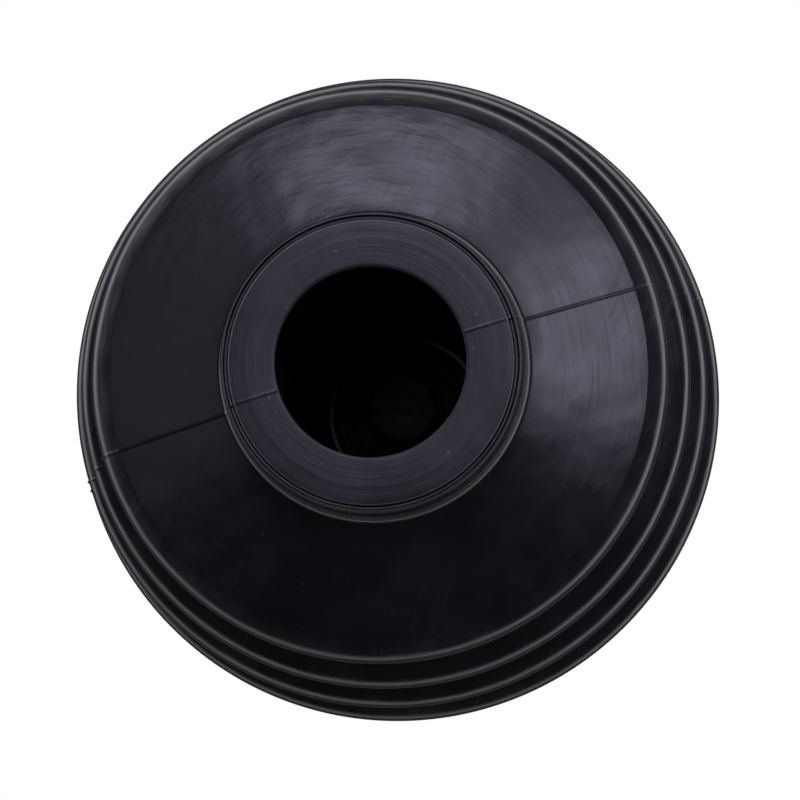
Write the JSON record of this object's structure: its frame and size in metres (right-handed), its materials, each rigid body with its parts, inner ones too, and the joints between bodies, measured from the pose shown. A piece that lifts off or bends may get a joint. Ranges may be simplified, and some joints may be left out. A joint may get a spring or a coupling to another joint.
{
  "type": "bellows sink plunger",
  "caption": "Short-handled sink plunger: a black moulded bellows widening from a round mouth collar, bolted to a tube handle with a rubber grip and a domed hanging cap.",
  "frame": {"origin": "centre of the mouth's sealing face, where the tool stands", "axes": "+Z along the tool's axis from the mouth to the handle's cap; +X along the socket pin and the mould's parting line; +Y along the hanging hole"},
  "size_m": [0.12, 0.12, 0.2443],
  "materials": {
    "bellows_rubber": "satin black, bluish, with a moulded skin",
    "seal_rubber": "matt",
    "black_nylon": "fine moulded texture",
    "zinc_steel": "zinc plated",
    "black_steel": "black oxide",
    "aluminium_tube": "satin anodised",
    "grip_rubber": "matt, ringed"
  },
  "bodies": {
    "mouth": {"bellows": "bellows_rubber"},
    "handle": {"backing_plate": "black_steel", "sealing_washer": "seal_rubber", "flat_washer": "black_steel", "spring_washer": "black_steel", "retaining_bolt": "black_steel", "handle_socket": "black_nylon", "captive_nut": "zinc_steel", "shaft_tube": "aluminium_tube", "socket_pin": "zinc_steel", "hand_grip": "grip_rubber", "end_cap": "black_nylon"}
  },
  "joints": [
    {"name": "bellows_stroke", "type": "slide", "parent": "mouth", "child": "handle", "axis": [0, 0, -1], "range_m": [-0.01, 0.034], "stiffness_N_per_m": 2500, "deforming": ["bellows"]}
  ]
}
